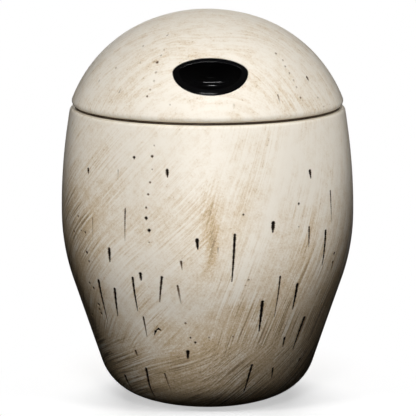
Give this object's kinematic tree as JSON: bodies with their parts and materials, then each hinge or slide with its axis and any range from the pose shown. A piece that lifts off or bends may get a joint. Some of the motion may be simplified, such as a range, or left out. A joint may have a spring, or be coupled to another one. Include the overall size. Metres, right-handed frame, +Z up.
{
  "type": "cookie jar",
  "caption": "Round-bellied ceramic cookie jar with a lift-off domed lid, a black finger cup in the lid's front and a soft seal between lid and rim.",
  "frame": {"origin": "on the jar's axis, in the plane of the foot ring that it stands on", "axes": "+Z up along the jar's axis, -Y to the front where the finger cup is, +X to the right as seen from the front"},
  "size_m": [0.1844, 0.1844, 0.2438],
  "materials": {
    "cream_glaze": "cream satin glaze over a brushed brown wash, dark stain in the worn cracks and pits, bare clay on the foot ring",
    "lid_glaze": "cream satin glaze over a brushed brown wash, the same as the pot",
    "black_glaze": "gloss black glaze",
    "brown_silicone": "matt dark brown silicone"
  },
  "bodies": {
    "jar": {"jar_body": "cream_glaze"},
    "lid": {"lid": "lid_glaze", "finger_cup": "black_glaze", "lid_seal": "brown_silicone"}
  },
  "joints": [
    {"name": "lid_lift", "type": "slide", "parent": "jar", "child": "lid", "axis": [0, 0, 1], "range_m": [0, 0.15]}
  ]
}
